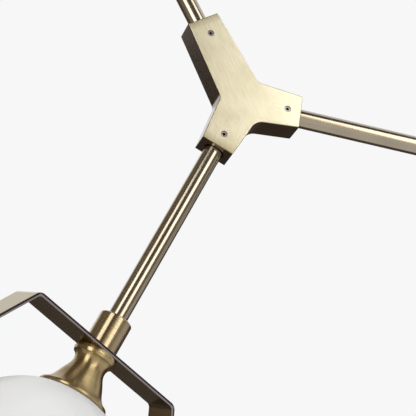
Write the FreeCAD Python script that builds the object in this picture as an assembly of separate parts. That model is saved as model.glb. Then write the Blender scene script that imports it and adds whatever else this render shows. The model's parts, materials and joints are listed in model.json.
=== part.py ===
import FreeCAD, Part
import math
import os
from FreeCAD import Vector

# Branch chandelier: a zigzag trunk of brass tube and three-way hubs under a ceiling canopy,
# with opal globes in hexagonal bands.  Millimetres, +Z up, front towards -Y.
# The origin is the middle of the crossbar's top face, where it lies against the ceiling.

# ---- tube and fits ------------------------------------------------------------------------------
TUBE_DIAMETER = 12.7
TUBE_WALL = 1.2
SLIP_CLEARANCE = 0.08       # radial, a tube in the socket that it turns in
FIXED_CLEARANCE = 0.04      # radial, a tube or rod in the socket that it is fixed in
END_CLEARANCE = 0.3         # between a tube's end and the bottom of its socket

# ---- set screws ---------------------------------------------------------------------------------
SET_SCREW_DIAMETER = 4.0
SET_SCREW_KEY = 2.0         # across the flats of its hexagonal socket
SET_SCREW_KEY_DEPTH = 1.6
SET_SCREW_SINK = 0.4        # how far the screw lies below the face
SET_SCREW_TIP_GAP = 0.1     # left between the tip and the tube

# ---- three-way hub ------------------------------------------------------------------------------
HUB_THICKNESS = 21.6
HUB_END_WIDTH = 22.4
HUB_ROOT_WIDTH = 29.6       # the arms' taper, carried on to the middle of the hub
HUB_LONG_ARM = 61.7         # middle of the hub to the end of the arm
HUB_SHORT_ARM = 39.0
HUB_ARM_TURN = 125.0        # degrees from the long arm to each short arm
HUB_SIDE_FILLET = 5.0
HUB_CROTCH_FILLET = 9.0
HUB_EDGE_ROUND = 0.6
HUB_SOCKET_DEPTH = 20.0
HUB_WIREWAY_DIAMETER = 8.0
HUB_SCREW_SHORT = 9.3       # end of the arm to the set screw
HUB_SCREW_LONG = 11.6
MOUTH_DIAMETER = 14.6       # recess around the tube where it enters a socket
MOUTH_DEPTH = 1.6

# ---- elbow between the stem and the trunk -------------------------------------------------------
ELBOW_ARM = 34.0
ELBOW_SOCKET_DEPTH = 20.0
ELBOW_FILLET = 8.0

# ---- where the trunk goes -----------------------------------------------------------------------
TRUNK_LEAN = 27.5           # degrees of each trunk tube from the vertical, to alternate sides
ELBOW_DROP = 300.0          # ceiling to the middle of the elbow
UPPER_TRUNK_RUN = 155.0     # middle of the elbow to the middle of the upper hub
LOWER_TRUNK_RUN = 380.0     # middle of the upper hub to the middle of the lower hub

# ---- lamp head: distances are measured from the middle of the hub along the arm ------------------
COLLAR_START = 171.4
COLLAR_LENGTH = 22.0
COLLAR_DIAMETER = 21.6
COLLAR_SOCKET_DEPTH = 12.0
COLLAR_EDGE_ROUND = 1.2
BAND_SIDE = 125.0           # outer side of the hexagon
BAND_WIDTH = 23.5
BAND_THICKNESS = 2.4
BAND_BEND_RADIUS = 6.0      # outside of each bend
BAND_EDGE_ROUND = 0.4
LEFT_BAND_TURN = -30.0      # how far each band is turned about its arm
RIGHT_BAND_TURN = 12.0
BOTTOM_BAND_TURN = 30.4

# ---- threaded rod that holds the head together --------------------------------------------------
ROD_DIAMETER = 10.0
ROD_BORE = 7.0
ROD_IN_HOLDER = 6.0
NUT_ACROSS_FLATS = 14.0
NUT_THICKNESS = 3.0

# ---- trumpet fitter -----------------------------------------------------------------------------
FITTER_TOP_WALL = 3.0
FITTER_TOP_RADIUS = 12.4
BEAD_RADIUS = 14.1
BEAD_SHOULDER = 3.0         # top of the fitter to the bead's full radius
BEAD_HEIGHT = 5.0
BEAD_CORNER = 0.5           # how far the bead draws in again at its lower corner
COVE_DEPTH = 1.0            # how far the cove under the bead dips below a straight line
WAIST_RADIUS = 10.7
WAIST_DROP = 10.6           # top of the fitter to the waist
THROAT_WALL = 1.5
FLARE_RADIUS = 17.7
FLARE_DROP = 26.6
FLARE_SAG = 0.5             # how far the flare dips below a straight line to its end
RIM_RADIUS = 22.4
RIM_DROP = 30.6
RIM_LIP = 2.3               # thickness of the rim at its edge
RIM_BULGE = 0.5
GLASS_SEAT_GAP = 0.3        # the rim's underside to the glass

# ---- opal globe ---------------------------------------------------------------------------------
GLOBE_RADIUS = 65.0
GLOBE_WALL = 3.0
NECK_RADIUS = 13.0
NECK_WALL = 2.2
NECK_RISE = 8.0             # height of the neck above the globe
NECK_CLEARANCE = 0.08       # radial, the neck in its ring
RING_CLEARANCE = 0.05       # between the ring and the fitter

# ---- lampholder and bulb ------------------------------------------------------------------------
HOLDER_RADIUS = 8.2
HOLDER_LENGTH = 27.0
HOLDER_GAP = 3.2            # lock nut to the top of the holder
HOLDER_EDGE_ROUND = 1.0
PIN_HOLE_DEPTH = 12.0
HOLDER_GROOVE = 0.7
PIN_SPACING = 9.0
PIN_DIAMETER = 1.6
PIN_HOLE_DIAMETER = 2.6
PIN_LENGTH = 9.0
PIN_ROOT = 0.3              # how far each pin is sunk in the bulb's base
BULB_RADIUS = 6.5
BULB_LENGTH = 40.0
BULB_BASE_WIDTH = 12.0
BULB_BASE_THICKNESS = 5.0
BULB_BASE_LENGTH = 8.0
BULB_GAP = 0.3              # the bulb's base to the holder's face

# ---- ceiling crossbar ---------------------------------------------------------------------------
CROSSBAR_LENGTH = 116.0
CROSSBAR_WIDTH = 25.0
CROSSBAR_THICKNESS = 2.5
CROSSBAR_STEP = 8.0         # how far the middle hangs below the ends
CROSSBAR_MIDDLE = 54.0
CROSSBAR_SLOPE = 5.0
SLOT_SPACING = 88.0
SLOT_LENGTH = 16.0
SLOT_WIDTH = 4.6
SCREW_HEAD_DIAMETER = 7.5
SCREW_SLOT_WIDTH = 1.0
SCREW_SLOT_DEPTH = 1.0
GROUND_SCREW_DIAMETER = 4.0
GROUND_SCREW_PLACE = 20.0
GROUND_HEAD_HEIGHT = 2.4
GROUND_SHANK_OUT = 3.0
BLOCK_WIDTH = 12.0
BLOCK_LENGTH = 24.0
BLOCK_HEIGHT = 11.0
BLOCK_GAP = 1.2             # the stem coupling to the terminal block
BLOCK_WIRE_HOLE = 3.6
BLOCK_SCREW_HOLE = 3.0
BLOCK_WAYS = 3

# ---- stem coupling, stem and canopy -------------------------------------------------------------
COUPLING_LENGTH = 44.5
COUPLING_ROD_DEPTH = 10.0
COUPLING_SOCKET_DEPTH = 24.0
COUPLING_SCREW_RISE = 10.0  # lower end of the coupling to its set screw
ROD_ABOVE_NUT = 1.0
CANOPY_RADIUS = 65.0
CANOPY_HEIGHT = 30.0
CANOPY_WALL = 1.2
CANOPY_CORNER = 9.0
CANOPY_DISH = 3.0           # how far the middle of the canopy hangs below its corner
CANOPY_LEVEL = 9.0          # width of the level part around the ring
CANOPY_CLEARANCE = 0.3      # radial, canopy and ring around the coupling
CANOPY_CEILING_GAP = 0.3
CANOPY_RING_RADIUS = 16.0
CANOPY_RING_HEIGHT = 9.0

# ---- worked out from the sizes above ------------------------------------------------------------
tube_radius = TUBE_DIAMETER / 2
tube_bore_radius = tube_radius - TUBE_WALL
socket_radius = tube_radius + SLIP_CLEARANCE
rod_radius = ROD_DIAMETER / 2
collar_end = COLLAR_START + COLLAR_LENGTH
fitter_top = collar_end + BAND_THICKNESS
nut_start = fitter_top + FITTER_TOP_WALL
holder_start = nut_start + NUT_THICKNESS + HOLDER_GAP
holder_end = holder_start + HOLDER_LENGTH
seat_radius = GLOBE_RADIUS + GLASS_SEAT_GAP
globe_centre = fitter_top + RIM_DROP + RIM_LIP + math.sqrt(seat_radius ** 2 - RIM_RADIUS ** 2)
band_apothem = BAND_SIDE * math.sqrt(3) / 2
arm_tube_start = HUB_SHORT_ARM - HUB_SOCKET_DEPTH + END_CLEARANCE
arm_tube_end = COLLAR_START + COLLAR_SOCKET_DEPTH - END_CLEARANCE
crossbar_face = -CROSSBAR_STEP - CROSSBAR_THICKNESS
coupling_top = crossbar_face - NUT_THICKNESS
coupling_bottom = coupling_top - COUPLING_LENGTH
canopy_bottom = -CANOPY_CEILING_GAP - CANOPY_HEIGHT

TOUCH = 1e-6                # two lengths nearer than this are the same
FRONT = Vector(0, -1, 0)
UP = Vector(0, 0, 1)
RIGHT = Vector(1, 0, 0)
HOME = Vector(0, 0, 0)


# ---- small helpers ------------------------------------------------------------------------------
def direction(turn):
    """Unit vector in the chandelier's plane, at this many degrees clockwise from up."""
    a = math.radians(turn)
    return Vector(math.sin(a), 0, math.cos(a))


def turned_profile(edges):
    """Solid of revolution about Z from edges drawn in the XZ plane."""
    face = Part.Face(Part.Wire(Part.__sortEdges__(edges)))
    return face.revolve(HOME, UP, 360)


def point(radius, height):
    return Vector(radius, 0, height)


def line(a, b):
    return Part.LineSegment(a, b).toShape()


def arc(a, middle, b):
    return Part.Arc(a, middle, b).toShape()


def chain(points):
    """Straight edges that join the points and close up."""
    return [line(a, b) for a, b in zip(points, points[1:] + points[:1])]


def pipe(outer, inner, low, high):
    """Round tube on the Z axis between two heights."""
    body = Part.makeCylinder(outer, high - low, point(0, low), UP)
    return body.cut(Part.makeCylinder(inner, high - low, point(0, low), UP))


def rod_along(axis, radius, start, end):
    """Cylinder from start to end, measured along an axis through the origin."""
    return Part.makeCylinder(radius, end - start, axis * start, axis)


def hexagon(across_flats, height, base, axis):
    """Hexagonal prism that stands on base and points along axis."""
    corner = across_flats / math.sqrt(3)
    side_a = axis.cross(Vector(0.3, 0.5, 0.8)).normalize()
    side_b = axis.cross(side_a)
    corners = []
    for k in range(6):
        a = math.radians(60 * k)
        corners.append(base + side_a * (corner * math.cos(a)) + side_b * (corner * math.sin(a)))
    return Part.Face(Part.makePolygon(corners + corners[:1])).extrude(axis * height)


def moved(shape, turn, place):
    """Copy turned about Y, then shifted, so that its +Z points along direction(turn)."""
    out = shape.copy()
    out.rotate(HOME, Vector(0, 1, 0), turn)
    out.translate(place)
    return out


# ---- set screws ---------------------------------------------------------------------------------
set_screw_length = HUB_THICKNESS / 2 - tube_radius - SET_SCREW_SINK - SET_SCREW_TIP_GAP


def set_screw(face_point, outward, length=set_screw_length):
    """Hex-socket set screw that lies just below a face and stops short of the tube."""
    top = face_point - outward * SET_SCREW_SINK
    body = Part.makeCylinder(SET_SCREW_DIAMETER / 2, length, top, outward * -1)
    socket = hexagon(SET_SCREW_KEY, SET_SCREW_KEY_DEPTH, top - outward * SET_SCREW_KEY_DEPTH, outward)
    return body.cut(socket)


def set_screw_hole(face_point, outward, depth):
    """Cutter for the tapped hole of a set screw."""
    radius = SET_SCREW_DIAMETER / 2 + FIXED_CLEARANCE
    return Part.makeCylinder(radius, depth + 1, face_point + outward, outward * -1)


def screw_place(axis, distance):
    """Point on the front face of a block above an arm's axis."""
    return axis * distance + FRONT * (HUB_THICKNESS / 2)


# ---- blocks with tube sockets -------------------------------------------------------------------
def arm_prism(axis, length, root_width, end_width):
    """Tapered arm from the middle of the block to the arm's end, as thick as the block."""
    side = axis.cross(FRONT)
    root = side * (root_width / 2)
    end = side * (end_width / 2)
    tip = axis * length
    outline = Part.Face(Part.makePolygon([root, tip + end, tip - end, root * -1, root]))
    outline.translate(FRONT * (-HUB_THICKNESS / 2))
    return outline.extrude(FRONT * HUB_THICKNESS)


def fillet_between(block, axis_a, axis_b, radius):
    """Round the upright edge of the inner corner between two arms."""
    bisector = (axis_a + axis_b).normalize()
    best = None
    for edge in block.Edges:
        direction_along = edge.tangentAt(edge.FirstParameter)
        middle = edge.CenterOfMass
        is_upright = abs(abs(direction_along.y) - 1) < TOUCH
        if is_upright and middle.dot(bisector) > 0:
            off_line = (middle - bisector * middle.dot(bisector)).Length
            if best is None or off_line < best[0]:
                best = (off_line, edge)
    return block.makeFillet(radius, [best[1]])


def drilled(block, arms):
    """Sockets, their mouths, the wireway and the set screw holes of a block.

    Each arm is its axis, its length, its socket's depth and its screw's distance from the end.
    """
    for axis, length, depth, screw_from_end in arms:
        block = block.cut(rod_along(axis, socket_radius, length - depth, length + 1))
        block = block.cut(rod_along(axis, MOUTH_DIAMETER / 2, length - MOUTH_DEPTH, length + 1))
        block = block.cut(rod_along(axis, HUB_WIREWAY_DIAMETER / 2, 0, length - depth + 1))
        place = screw_place(axis, length - screw_from_end)
        block = block.cut(set_screw_hole(place, FRONT, HUB_THICKNESS / 2 - tube_radius / 2))
    return block


def screws_for(arms):
    """Set screws of a block, as one group of separate solids."""
    places = [screw_place(axis, length - screw_from_end) for axis, length, depth, screw_from_end in arms]
    return Part.makeCompound([set_screw(place, FRONT) for place in places])


def face_outline_edges(block, thickness):
    """Edges that run around the front and back faces of a block or bar of this thickness."""
    half = thickness / 2
    found = []
    for edge in block.Edges:
        ends_on_face = all(abs(abs(v.Y) - half) < TOUCH for v in edge.Vertexes)
        if ends_on_face and abs(abs(edge.CenterOfMass.y) - half) < TOUCH:
            found.append(edge)
    return found


hub_arms = [
    (direction(0), HUB_LONG_ARM, HUB_SOCKET_DEPTH, HUB_SCREW_LONG),
    (direction(HUB_ARM_TURN), HUB_SHORT_ARM, HUB_SOCKET_DEPTH, HUB_SCREW_SHORT),
    (direction(-HUB_ARM_TURN), HUB_SHORT_ARM, HUB_SOCKET_DEPTH, HUB_SCREW_SHORT),
]


def make_hub():
    """Three-way hub: one long and two short arms, tapered, with rounded inner corners."""
    arms = [arm_prism(arm[0], arm[1], HUB_ROOT_WIDTH, HUB_END_WIDTH) for arm in hub_arms]
    block = arms[0].fuse(arms[1:]).removeSplitter().Solids[0]
    long_arm, right_arm, left_arm = [arm[0] for arm in hub_arms]
    block = fillet_between(block, long_arm, right_arm, HUB_SIDE_FILLET)
    block = fillet_between(block, long_arm, left_arm, HUB_SIDE_FILLET)
    block = fillet_between(block, right_arm, left_arm, HUB_CROTCH_FILLET)
    block = block.makeFillet(HUB_EDGE_ROUND, face_outline_edges(block, HUB_THICKNESS))
    return drilled(block, hub_arms)


elbow_arms = [
    (direction(0), ELBOW_ARM, ELBOW_SOCKET_DEPTH, HUB_SCREW_SHORT),
    (direction(180 + TRUNK_LEAN), ELBOW_ARM, ELBOW_SOCKET_DEPTH, HUB_SCREW_SHORT),
]


def make_elbow():
    """Two-way block that turns the upright stem into the leaning trunk."""
    arms = [arm_prism(arm[0], arm[1], HUB_END_WIDTH, HUB_END_WIDTH) for arm in elbow_arms]
    knee = Part.makeCylinder(HUB_END_WIDTH / 2, HUB_THICKNESS, FRONT * (-HUB_THICKNESS / 2), FRONT)
    block = arms[0].fuse([arms[1], knee]).removeSplitter().Solids[0]
    block = fillet_between(block, elbow_arms[0][0], elbow_arms[1][0], ELBOW_FILLET)
    block = block.makeFillet(HUB_EDGE_ROUND, face_outline_edges(block, HUB_THICKNESS))
    return drilled(block, elbow_arms)


def edges_at_height(shape, height):
    return [e for e in shape.Edges if abs(e.CenterOfMass.z - height) < TOUCH]


# ---- lamp head, built hanging straight down from the middle of its hub ---------------------------
def make_arm_tube():
    return pipe(tube_radius, tube_bore_radius, -arm_tube_end, -arm_tube_start)


def make_collar():
    """Turned collar: a socket for the arm tube above, a tapped hole for the rod below."""
    body = Part.makeCylinder(COLLAR_DIAMETER / 2, COLLAR_LENGTH, point(0, -collar_end), UP)
    body = body.makeFillet(COLLAR_EDGE_ROUND, edges_at_height(body, -COLLAR_START))
    socket_bottom = point(0, -COLLAR_START - COLLAR_SOCKET_DEPTH)
    socket = Part.makeCylinder(tube_radius + FIXED_CLEARANCE, 2 * COLLAR_SOCKET_DEPTH, socket_bottom, UP)
    tapped = Part.makeCylinder(rod_radius + FIXED_CLEARANCE, COLLAR_LENGTH, point(0, -collar_end), UP)
    return body.cut(socket).cut(tapped)


def hexagon_prism(side, bend_radius):
    """Hexagonal prism across the band's width, with rounded bends, a side at the top."""
    centre = point(0, -collar_end - band_apothem)
    corners = [centre + direction(sixth * 60 + 30) * side for sixth in range(6)]
    outline = Part.Face(Part.makePolygon(corners + corners[:1]))
    outline.translate(FRONT * (-BAND_WIDTH / 2))
    prism = outline.extrude(FRONT * BAND_WIDTH)
    bends = [e for e in prism.Edges if abs(e.CenterOfMass.y) < TOUCH]
    return prism.makeFillet(bend_radius, bends)


def make_band():
    """Flat bar bent into a hexagon, with a hole in its top side for the rod."""
    inner_side = BAND_SIDE - 2 * BAND_THICKNESS / math.sqrt(3)
    band = hexagon_prism(BAND_SIDE, BAND_BEND_RADIUS)
    band = band.cut(hexagon_prism(inner_side, BAND_BEND_RADIUS - BAND_THICKNESS))
    band = band.makeFillet(BAND_EDGE_ROUND, face_outline_edges(band, BAND_WIDTH))
    below_band = point(0, -collar_end - 2 * BAND_THICKNESS)
    hole = Part.makeCylinder(rod_radius + FIXED_CLEARANCE, 3 * BAND_THICKNESS, below_band, UP)
    return band.cut(hole)


# The fitter's bore is a cone from the waist to the ring that takes the glass.
cone_top = fitter_top + WAIST_DROP
cone_end = fitter_top + FLARE_DROP
cone_top_radius = WAIST_RADIUS - THROAT_WALL
cone_end_radius = FLARE_RADIUS - THROAT_WALL
cone_slope = (cone_end_radius - cone_top_radius) / (cone_end - cone_top)


def bore_radius_at(distance):
    return cone_top_radius + cone_slope * (distance - cone_top)


def seat_height_at(radius):
    """Height of the rim's underside, which follows the globe."""
    return -globe_centre + math.sqrt(seat_radius ** 2 - radius ** 2)


def halfway(a, b, sideways=0.0):
    """Point halfway between two others, moved this far outwards."""
    return (a + b) * 0.5 + point(sideways, 0)


def make_fitter():
    """Turned trumpet: a bead under the band, a cove to the waist, and a flared rim on the glass."""
    hole = rod_radius + FIXED_CLEARANCE
    top = -fitter_top
    cap_low = top - FITTER_TOP_WALL
    shoulder = point(BEAD_RADIUS, top - BEAD_SHOULDER)
    bead_low = point(BEAD_RADIUS - BEAD_CORNER, top - BEAD_HEIGHT)
    top_edge = point(FITTER_TOP_RADIUS, top)
    bead_round = point(BEAD_RADIUS - BEAD_CORNER, top - BEAD_SHOULDER / 2)
    waist = point(WAIST_RADIUS, top - WAIST_DROP)
    flare = point(FLARE_RADIUS, top - FLARE_DROP)
    rim_top = point(RIM_RADIUS, top - RIM_DROP)
    rim_low = point(RIM_RADIUS, seat_height_at(RIM_RADIUS))
    seat_in = point(cone_end_radius, seat_height_at(cone_end_radius))
    seat_mid_radius = (RIM_RADIUS + cone_end_radius) / 2
    seat_mid = point(seat_mid_radius, seat_height_at(seat_mid_radius))
    side_curve = Part.BSplineCurve()
    side_curve.interpolate([
        bead_low,
        halfway(bead_low, waist, -COVE_DEPTH),
        waist,
        halfway(waist, flare, -FLARE_SAG),
        flare,
        rim_top,
    ])
    edges = [
        line(point(hole, top), top_edge),
        arc(top_edge, bead_round, shoulder),
        line(shoulder, bead_low),
        side_curve.toShape(),
        arc(rim_top, halfway(rim_top, rim_low, RIM_BULGE), rim_low),
        arc(rim_low, seat_mid, seat_in),
        line(seat_in, point(cone_end_radius, -cone_end)),
        line(point(cone_end_radius, -cone_end), point(cone_top_radius, -cone_top)),
        line(point(cone_top_radius, -cone_top), point(cone_top_radius, cap_low)),
        line(point(cone_top_radius, cap_low), point(hole, cap_low)),
        line(point(hole, cap_low), point(hole, top)),
    ]
    return turned_profile(edges)


def make_rod():
    """Hollow threaded rod that pulls collar, band and fitter together."""
    start = COLLAR_START + COLLAR_SOCKET_DEPTH + END_CLEARANCE
    return pipe(rod_radius, ROD_BORE / 2, -holder_start - ROD_IN_HOLDER, -start)


def make_nut(top_height):
    """Hexagonal lock nut with its top face at this height."""
    base = point(0, top_height - NUT_THICKNESS)
    bore = Part.makeCylinder(rod_radius + FIXED_CLEARANCE, 2 * NUT_THICKNESS, base - UP, UP)
    return hexagon(NUT_ACROSS_FLATS, NUT_THICKNESS, base, UP).cut(bore)


# The glass neck stands in a threaded ring that is fixed in the fitter's flare.
neck_top = -globe_centre + math.sqrt(GLOBE_RADIUS ** 2 - NECK_RADIUS ** 2) + NECK_RISE


def make_globe_ring():
    """Threaded ring with a tapered outside, from the top of the neck to the end of the cone."""
    start = -neck_top
    end = cone_end
    inner = NECK_RADIUS + NECK_CLEARANCE
    return turned_profile(chain([
        point(inner, -start),
        point(bore_radius_at(start) - RING_CLEARANCE, -start),
        point(bore_radius_at(end) - RING_CLEARANCE, -end),
        point(inner, -end),
    ]))


def make_globe():
    """Blown globe with one wall thickness and a short neck."""
    centre = -globe_centre
    inner_radius = GLOBE_RADIUS - GLOBE_WALL
    neck_bore = NECK_RADIUS - NECK_WALL
    outer_join = point(NECK_RADIUS, centre + math.sqrt(GLOBE_RADIUS ** 2 - NECK_RADIUS ** 2))
    inner_join = point(neck_bore, centre + math.sqrt(inner_radius ** 2 - neck_bore ** 2))
    return turned_profile([
        arc(outer_join, point(GLOBE_RADIUS, centre), point(0, centre - GLOBE_RADIUS)),
        line(point(0, centre - GLOBE_RADIUS), point(0, centre - inner_radius)),
        arc(point(0, centre - inner_radius), point(inner_radius, centre), inner_join),
        line(inner_join, point(neck_bore, neck_top)),
        line(point(neck_bore, neck_top), point(NECK_RADIUS, neck_top)),
        line(point(NECK_RADIUS, neck_top), outer_join),
    ])


def pin_places():
    return [point(x, 0) for x in (-PIN_SPACING / 2, PIN_SPACING / 2)]


def make_lampholder():
    """Ceramic holder for a two-pin capsule bulb, screwed on the end of the rod."""
    body = Part.makeCylinder(HOLDER_RADIUS, HOLDER_LENGTH, point(0, -holder_end), UP)
    rims = [e for e in body.Edges if e.Curve.TypeId == "Part::GeomCircle"]
    body = body.makeFillet(HOLDER_EDGE_ROUND, rims)
    rod_end = point(0, -holder_start - ROD_IN_HOLDER)
    rod_hole = Part.makeCylinder(rod_radius + FIXED_CLEARANCE, 2 * ROD_IN_HOLDER, rod_end, UP)
    body = body.cut(rod_hole)
    groove_low = -holder_start - HOLDER_LENGTH / 2
    groove_high = groove_low + 2 * HOLDER_GROOVE
    body = body.cut(pipe(HOLDER_RADIUS * 2, HOLDER_RADIUS - HOLDER_GROOVE, groove_low, groove_high))
    for place in pin_places():
        face_point = place - UP * holder_end
        body = body.cut(Part.makeCylinder(PIN_HOLE_DIAMETER / 2, PIN_HOLE_DEPTH, face_point, UP))
    return body


def make_bulb():
    """Capsule bulb: a round-ended glass tube, a pinched base and two pins."""
    base_top = -holder_end - BULB_GAP
    corner = Vector(-BULB_BASE_WIDTH / 2, -BULB_BASE_THICKNESS / 2, base_top - BULB_BASE_LENGTH)
    base = Part.makeBox(BULB_BASE_WIDTH, BULB_BASE_THICKNESS, BULB_BASE_LENGTH, corner)
    tube_top = base_top - BULB_BASE_LENGTH
    tube_low = base_top - BULB_LENGTH + BULB_RADIUS
    tube = Part.makeCylinder(BULB_RADIUS, tube_top - tube_low, point(0, tube_low), UP)
    tip = Part.makeSphere(BULB_RADIUS, point(0, tube_low))
    bulb = base.fuse(tube).fuse(tip)
    for place in pin_places():
        pin_start = place + UP * (base_top - PIN_ROOT)
        bulb = bulb.fuse(Part.makeCylinder(PIN_DIAMETER / 2, PIN_LENGTH + PIN_ROOT, pin_start, UP))
    return bulb.removeSplitter()


# ---- what hangs from the ceiling ----------------------------------------------------------------
def make_crossbar():
    """Bent steel strap: ends against the ceiling, middle dropped to clear the nut."""
    end = CROSSBAR_LENGTH / 2
    middle = CROSSBAR_MIDDLE / 2
    slope = middle + CROSSBAR_SLOPE
    t = CROSSBAR_THICKNESS
    right_top = [Vector(middle, 0, -CROSSBAR_STEP), Vector(slope, 0, 0), Vector(end, 0, 0)]
    right_low = [Vector(end, 0, -t), Vector(slope + t / 3, 0, -t)]
    right_low.append(Vector(middle + t / 3, 0, crossbar_face))
    right = right_top + right_low
    left = [Vector(-p.x, 0, p.z) for p in reversed(right)]
    outline = Part.Face(Part.makePolygon(right + left + right[:1]))
    outline.translate(FRONT * (-CROSSBAR_WIDTH / 2))
    bar = outline.extrude(FRONT * CROSSBAR_WIDTH)
    for side in (-1, 1):
        middle_of_slot = side * SLOT_SPACING / 2
        reach = (SLOT_LENGTH - SLOT_WIDTH) / 2
        corner = Vector(middle_of_slot - reach, -SLOT_WIDTH / 2, -2 * t)
        slot = Part.makeBox(2 * reach, SLOT_WIDTH, 3 * t, corner)
        for x in (middle_of_slot - reach, middle_of_slot + reach):
            slot = slot.fuse(Part.makeCylinder(SLOT_WIDTH / 2, 3 * t, Vector(x, 0, -2 * t), UP))
        bar = bar.cut(slot)
    depth = 3 * CROSSBAR_STEP
    bar = bar.cut(Part.makeCylinder(rod_radius + FIXED_CLEARANCE, depth, point(0, -depth), UP))
    ground_hole = GROUND_SCREW_DIAMETER / 2 + FIXED_CLEARANCE
    return bar.cut(Part.makeCylinder(ground_hole, depth, point(-GROUND_SCREW_PLACE, -depth), UP))


def make_mounting_rod():
    top = -CROSSBAR_STEP + NUT_THICKNESS + ROD_ABOVE_NUT
    low = coupling_top - COUPLING_ROD_DEPTH + END_CLEARANCE
    return pipe(rod_radius, ROD_BORE / 2, low, top)


def make_mounting_nuts():
    return Part.makeCompound([make_nut(-CROSSBAR_STEP + NUT_THICKNESS), make_nut(crossbar_face)])


def make_ground_screw():
    """Slotted pan-head screw up through the crossbar, for the earth wire."""
    low = crossbar_face - GROUND_HEAD_HEIGHT
    head = Part.makeCylinder(SCREW_HEAD_DIAMETER / 2, GROUND_HEAD_HEIGHT, point(0, low), UP)
    head = head.makeFillet(GROUND_HEAD_HEIGHT / 3, edges_at_height(head, low))
    shank_length = CROSSBAR_THICKNESS + GROUND_SHANK_OUT
    shank = Part.makeCylinder(GROUND_SCREW_DIAMETER / 2, shank_length, point(0, crossbar_face), UP)
    slot_corner = Vector(-SCREW_HEAD_DIAMETER / 2, -SCREW_SLOT_WIDTH / 2, low)
    slot = Part.makeBox(SCREW_HEAD_DIAMETER, SCREW_SLOT_WIDTH, SCREW_SLOT_DEPTH, slot_corner)
    return moved(head.fuse(shank).cut(slot), 0, Vector(-GROUND_SCREW_PLACE, 0, 0))


def make_terminal_block():
    """Three-way terminal block on the underside of the crossbar."""
    near = COLLAR_DIAMETER / 2 + BLOCK_GAP
    low = crossbar_face - BLOCK_HEIGHT
    block = Part.makeBox(BLOCK_WIDTH, BLOCK_LENGTH, BLOCK_HEIGHT, Vector(near, -BLOCK_LENGTH / 2, low))
    pitch = BLOCK_LENGTH / BLOCK_WAYS
    half_height = BLOCK_HEIGHT / 2
    for way in range(BLOCK_WAYS):
        y = pitch * (way + 0.5) - BLOCK_LENGTH / 2
        wire_start = Vector(near, y, low + half_height)
        screw_start = Vector(near + BLOCK_WIDTH / 2, y, low)
        block = block.cut(Part.makeCylinder(BLOCK_WIRE_HOLE / 2, BLOCK_WIDTH, wire_start, RIGHT))
        block = block.cut(Part.makeCylinder(BLOCK_SCREW_HOLE / 2, half_height, screw_start, UP))
    return block


def coupling_screw_point():
    return Vector(0, -COLLAR_DIAMETER / 2, coupling_bottom + COUPLING_SCREW_RISE)


def make_stem_coupling():
    """Turned sleeve on the mounting rod, with the socket that the stem turns in."""
    body = Part.makeCylinder(COLLAR_DIAMETER / 2, COUPLING_LENGTH, point(0, coupling_bottom), UP)
    body = body.makeFillet(COLLAR_EDGE_ROUND, edges_at_height(body, coupling_bottom))
    rod_end = point(0, coupling_top - COUPLING_ROD_DEPTH)
    rod_hole = Part.makeCylinder(rod_radius + FIXED_CLEARANCE, 2 * COUPLING_ROD_DEPTH, rod_end, UP)
    wireway = Part.makeCylinder(ROD_BORE / 2, COUPLING_LENGTH, point(0, coupling_bottom), UP)
    socket = Part.makeCylinder(socket_radius, COUPLING_SOCKET_DEPTH, point(0, coupling_bottom), UP)
    body = body.cut(rod_hole).cut(wireway).cut(socket)
    return body.cut(set_screw_hole(coupling_screw_point(), FRONT, COLLAR_DIAMETER / 2 - tube_radius / 2))


def make_coupling_screw():
    length = COLLAR_DIAMETER / 2 - tube_radius - SET_SCREW_SINK - SET_SCREW_TIP_GAP
    return set_screw(coupling_screw_point(), FRONT, length)


def make_stem():
    low = -ELBOW_DROP + ELBOW_ARM - ELBOW_SOCKET_DEPTH + END_CLEARANCE
    high = coupling_bottom + COUPLING_SOCKET_DEPTH - END_CLEARANCE
    return pipe(tube_radius, tube_bore_radius, low, high)


canopy_hole = COLLAR_DIAMETER / 2 + CANOPY_CLEARANCE


def make_canopy():
    """Spun cup with a rounded corner and a dished middle, open towards the ceiling."""
    top = -CANOPY_CEILING_GAP
    corner_z = canopy_bottom + CANOPY_DISH
    w = CANOPY_WALL
    lean = math.sqrt(0.5)
    corner_in = CANOPY_CORNER - w
    outer_flat = CANOPY_RADIUS - CANOPY_CORNER
    inner_flat = CANOPY_RING_RADIUS + CANOPY_LEVEL
    return turned_profile([
        line(point(CANOPY_RADIUS, top), point(CANOPY_RADIUS, corner_z + CANOPY_CORNER)),
        arc(point(CANOPY_RADIUS, corner_z + CANOPY_CORNER),
            point(outer_flat + CANOPY_CORNER * lean, corner_z + CANOPY_CORNER * (1 - lean)),
            point(outer_flat, corner_z)),
        line(point(outer_flat, corner_z), point(inner_flat, canopy_bottom)),
        line(point(inner_flat, canopy_bottom), point(canopy_hole, canopy_bottom)),
        line(point(canopy_hole, canopy_bottom), point(canopy_hole, canopy_bottom + w)),
        line(point(canopy_hole, canopy_bottom + w), point(inner_flat, canopy_bottom + w)),
        line(point(inner_flat, canopy_bottom + w), point(outer_flat, corner_z + w)),
        arc(point(outer_flat, corner_z + w),
            point(outer_flat + corner_in * lean, corner_z + CANOPY_CORNER - corner_in * lean),
            point(CANOPY_RADIUS - w, corner_z + CANOPY_CORNER)),
        line(point(CANOPY_RADIUS - w, corner_z + CANOPY_CORNER), point(CANOPY_RADIUS - w, top)),
        line(point(CANOPY_RADIUS - w, top), point(CANOPY_RADIUS, top)),
    ])


def ring_screw_point():
    return Vector(0, -CANOPY_RING_RADIUS, canopy_bottom - CANOPY_RING_HEIGHT / 2)


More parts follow.
